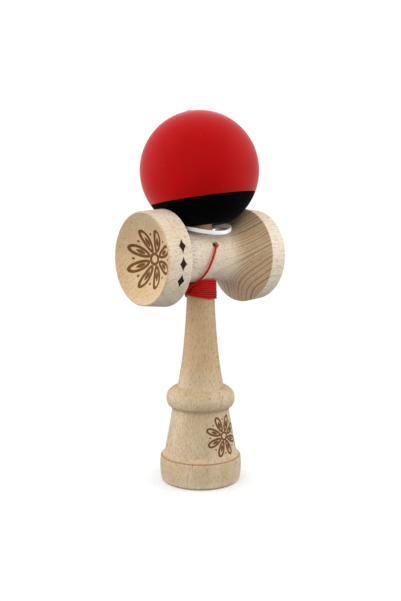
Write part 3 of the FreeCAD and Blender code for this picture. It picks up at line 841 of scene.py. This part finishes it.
def inlay(name, patches, surface, material):
    """Thin burnt patches let into a surface. A patch is a grid of (across, up) rows; surface gives the place
    and the direction out of the wood, in mm, for a point of the mark."""
    points, faces = [], []
    for rows, closed in patches:
        width = len(rows[0])
        start = len(points)
        for lift in (PROUD, -SUNK):
            for row in rows:
                for across, up in row:
                    place, out = surface(across, up)
                    points.append((place + out * lift) * MM)
        layer = len(rows) * width
        for i in range(len(rows) if closed else len(rows) - 1):
            a, b = start + i * width, start + (i + 1) % len(rows) * width
            for k in range(width - 1):
                faces.append((a + k, a + k + 1, b + k + 1, b + k))
                faces.append((a + layer + k, b + layer + k, b + layer + k + 1, a + layer + k + 1))
            for k, turn in ((0, 1), (width - 1, -1)):
                side = (a + k, b + k, b + layer + k, a + layer + k)
                faces.append(side[::turn])
        if not closed:
            for i, turn in ((0, -1), (len(rows) - 1, 1)):
                for k in range(width - 1):
                    a = start + i * width + k
                    side = (a, a + 1, a + layer + 1, a + layer)
                    faces.append(side[::turn])
    hold(add_mesh(name, points, faces, sharp=50), "handle", material, None)


def ribbon(line, widths, closed):
    """A patch along a line of (across, up) points, with its own width at each."""
    rows = []
    for i, (spot, width) in enumerate(zip(line, widths)):
        before = line[i - 1] if closed or i else spot
        after = line[(i + 1) % len(line)] if closed or i < len(line) - 1 else spot
        side = (after - before).normalized().orthogonal() * (width / 2)
        rows.append([tuple(spot + side * k) for k in (1, 0.4, -0.4, -1)])
    return rows, closed


PETALS, PETAL_STEPS, STROKE_STEPS, DOT_STEPS = 8, 48, 12, 16


def circle(steps):
    """Points round a circle of radius 1."""
    return [Vector((math.cos(math.tau * k / steps), math.sin(math.tau * k / steps))) for k in range(steps)]


def rosette(radius):
    """A plain rosette: outlined petals round a ring, a short stroke in each, and dots between their tips."""
    patches = []
    for i in range(PETALS):
        angle = math.tau * (i + 0.5) / PETALS
        way = Vector((math.sin(angle), math.cos(angle)))
        side = Vector((way.y, -way.x))
        outline = []
        for k in range(PETAL_STEPS):
            t = math.tau * k / PETAL_STEPS
            reach = 0.27 + 0.70 * (1 - math.cos(t)) / 2
            spread = 0.155 * math.sin(t) * (0.62 + 0.38 * (1 - math.cos(t)) / 2)
            outline.append((way * reach + side * spread) * radius)
        patches.append(ribbon(outline, [0.098 * radius] * PETAL_STEPS, True))
        stroke = [way * radius * (0.42 + 0.34 * k / STROKE_STEPS) for k in range(STROKE_STEPS + 1)]
        widths = [radius * 0.13 * math.sin(math.pi * (k + 0.6) / (STROKE_STEPS + 1.2))
                  for k in range(STROKE_STEPS + 1)]
        patches.append(ribbon(stroke, widths, False))
        between = angle + math.pi / PETALS
        dot_place = Vector((math.sin(between), math.cos(between))) * radius * 0.80
        dot = [dot_place + spot * radius * 0.022 for spot in circle(DOT_STEPS)]
        patches.append(ribbon(dot, [0.04 * radius] * DOT_STEPS, True))
    ring = [spot * radius * 0.17 for spot in circle(PETAL_STEPS)]
    patches.append(ribbon(ring, [0.10 * radius] * PETAL_STEPS, True))
    return patches


def in_small_dish(across, up):
    """A point of the small cup's dish, seen from its mouth."""
    radius = bowl_radius(SMALL_CUP)
    centre = Vector((-SMALL_CUP[-1] - radius, 0, SARADO_Z))
    out = Vector((math.sqrt(radius * radius - across * across - up * up), -across, up)) / radius
    return centre + out * radius, -out


def on_small_band(across, up):
    """A point of the small cup's tapered outside: along X, and degrees round from the middle of the front."""
    edge, radius, mouth = SMALL_CUP[:3]
    slope = (mouth - radius) / (SARADO_HALF - LIP - edge)
    angle = math.radians(up)
    out = Vector((0, -math.cos(angle), math.sin(angle)))
    place = out * (radius + (-across - edge) * slope) + Vector((across, 0, SARADO_Z))
    return place, (out + Vector((slope, 0, 0))).normalized()


def on_foot(across, up):
    """A point of the body above the foot, from the middle of the front."""
    slope = (BODY_HIGH[0] - BODY_LOW[0]) / (BODY_HIGH[1] - BODY_LOW[1])
    radius = BODY_LOW[0] + (up - BODY_LOW[1]) * slope
    angle = across / radius
    out = Vector((math.sin(angle), -math.cos(angle), -slope)).normalized()
    return Vector((radius * math.sin(angle), -radius * math.cos(angle), up)), out


def star(degrees):
    """A slim star of four points with hollow sides, longer round the cup than along it. Its length is in
    degrees round the cup."""
    rows = []
    for k in range(25):
        t = -1 + k / 12
        half = STAR_WIDTH / 2 * (1 - abs(t)) ** 1.7 + 0.16 * (1 - abs(t)) ** 0.3
        rows.append([(STAR_X + half * side, degrees + t * STAR_LENGTH / 2) for side in (-1, -0.4, 0.4, 1)])
    return rows, False


def make_marks():
    """Generic marks where the photo's are."""
    def shifted(surface, shift):
        return lambda across, up: surface(across + shift[0], up + shift[1])

    inlay("mark_in_cup", rosette(CUP_MARK_RADIUS), shifted(in_small_dish, CUP_MARK_SHIFT), brown_burn)
    inlay("mark_on_foot", rosette(FOOT_MARK_RADIUS), shifted(on_foot, FOOT_MARK_SHIFT), brown_burn)
    inlay("mark_on_rim", [star(degrees) for degrees in STAR_DEGREES], on_small_band, black_burn)


# ---------------------------------------------------------------- stage
FADE_FROM, FADE_TO, FADE_START = 0.0195, 0.032, 0.35    # metres from the axis; the share gone at the start
FLOOR_HALF = 3
BACKDROP = 1.02                                         # the white that the camera sees behind the object
AMBIENT = (0.32, 0.61)                                  # light from low down and from straight above
AMBIENT_LOW = -0.7


def make_floor():
    """White paper that takes the contact shadow close to the foot and is clear further out."""
    g = Graph("floor_paper")
    place = g.coords.outputs["Object"]
    fibres = g.noise(place, 90, detail=3)
    tone = g.mix(fibres, (0.94, 0.94, 0.94, 1), (0.98, 0.98, 0.98, 1))
    g.finish(tone, g.between(fibres, 0.3, 0.7, 0.8, 0.9), fibres, depth=0.02, Specular_IOR_Level=0.1)
    distance = g.vector("LENGTH", place, output="Value")
    clear = g.node("BsdfTransparent", {})
    gone = g.between(distance, FADE_FROM, FADE_TO, FADE_START, 1.0)
    fade = g.node("MixShader", {0: gone, 1: g.shader.outputs[0], 2: clear.outputs[0]})
    output = next(n for n in g.tree.nodes if n.type == "OUTPUT_MATERIAL")
    g.put(output.inputs["Surface"], fade.outputs[0])
    corners = [(x * FLOOR_HALF, y * FLOOR_HALF, 0) for x, y in ((-1, -1), (1, -1), (1, 1), (-1, 1))]
    floor = add_mesh("floor", corners, [(0, 1, 2, 3)])
    floor.data.materials.append(g.material)


def make_world():
    """A white studio: plain white behind, and softer light on the object, stronger from above than below."""
    world = bpy.data.worlds.new("studio")
    bpy.context.scene.world = world
    world.use_nodes = True
    nodes, links = world.node_tree.nodes, world.node_tree.links
    shown = nodes["Background"]
    shown.inputs["Color"].default_value = (1, 1, 1, 1)
    way, split = nodes.new("ShaderNodeTexCoord"), nodes.new("ShaderNodeSeparateXYZ")
    links.new(way.outputs["Generated"], split.inputs[0])
    ambient = nodes.new("ShaderNodeMapRange")
    ambient.inputs["From Min"].default_value = AMBIENT_LOW
    ambient.inputs["To Min"].default_value, ambient.inputs["To Max"].default_value = AMBIENT
    links.new(split.outputs["Z"], ambient.inputs["Value"])
    path = nodes.new("ShaderNodeLightPath")
    strength = nodes.new("ShaderNodeMapRange")
    strength.inputs["To Max"].default_value = BACKDROP
    links.new(ambient.outputs[0], strength.inputs["To Min"])
    links.new(path.outputs["Is Camera Ray"], strength.inputs["Value"])
    links.new(strength.outputs[0], shown.inputs["Strength"])


# Name, place and target in mm, width and height in mm, watts.
SOFT_BOXES = [
    ("soft_left", (-560, 470, 330), (0, 0, 120), 700, 800, 3.55),
    ("soft_front", (-480, -350, 330), (0, 0, 110), 600, 600, 1.9),
    ("soft_right", (560, -420, 330), (0, 0, 120), 700, 800, 3.8),
    ("soft_top", (60, 60, 760), (0, 0, 120), 800, 800, 0.6),
]


def make_lights():
    """Soft boxes all round, and colours that are shown as they are."""
    for name, place, target, width, height, watts in SOFT_BOXES:
        lamp = bpy.data.lights.new(name, "AREA")
        lamp.shape = "RECTANGLE"
        lamp.size, lamp.size_y = width * MM, height * MM
        lamp.energy = watts
        box = bpy.data.objects.new(name, lamp)
        bpy.context.collection.objects.link(box)
        box.location = Vector(place) * MM
        box.rotation_mode = "QUATERNION"
        box.rotation_quaternion = (Vector(target) - Vector(place)).to_track_quat("-Z", "Y")
    bpy.context.scene.view_settings.view_transform = "Standard"


# ---------------------------------------------------------------- build
make_floor()
make_world()
make_lights()
make_ken()
make_sarado()
tama_floor = make_tama()
bead_low = make_bead(tama_floor)
make_band()
make_string(bead_low)
make_marks()
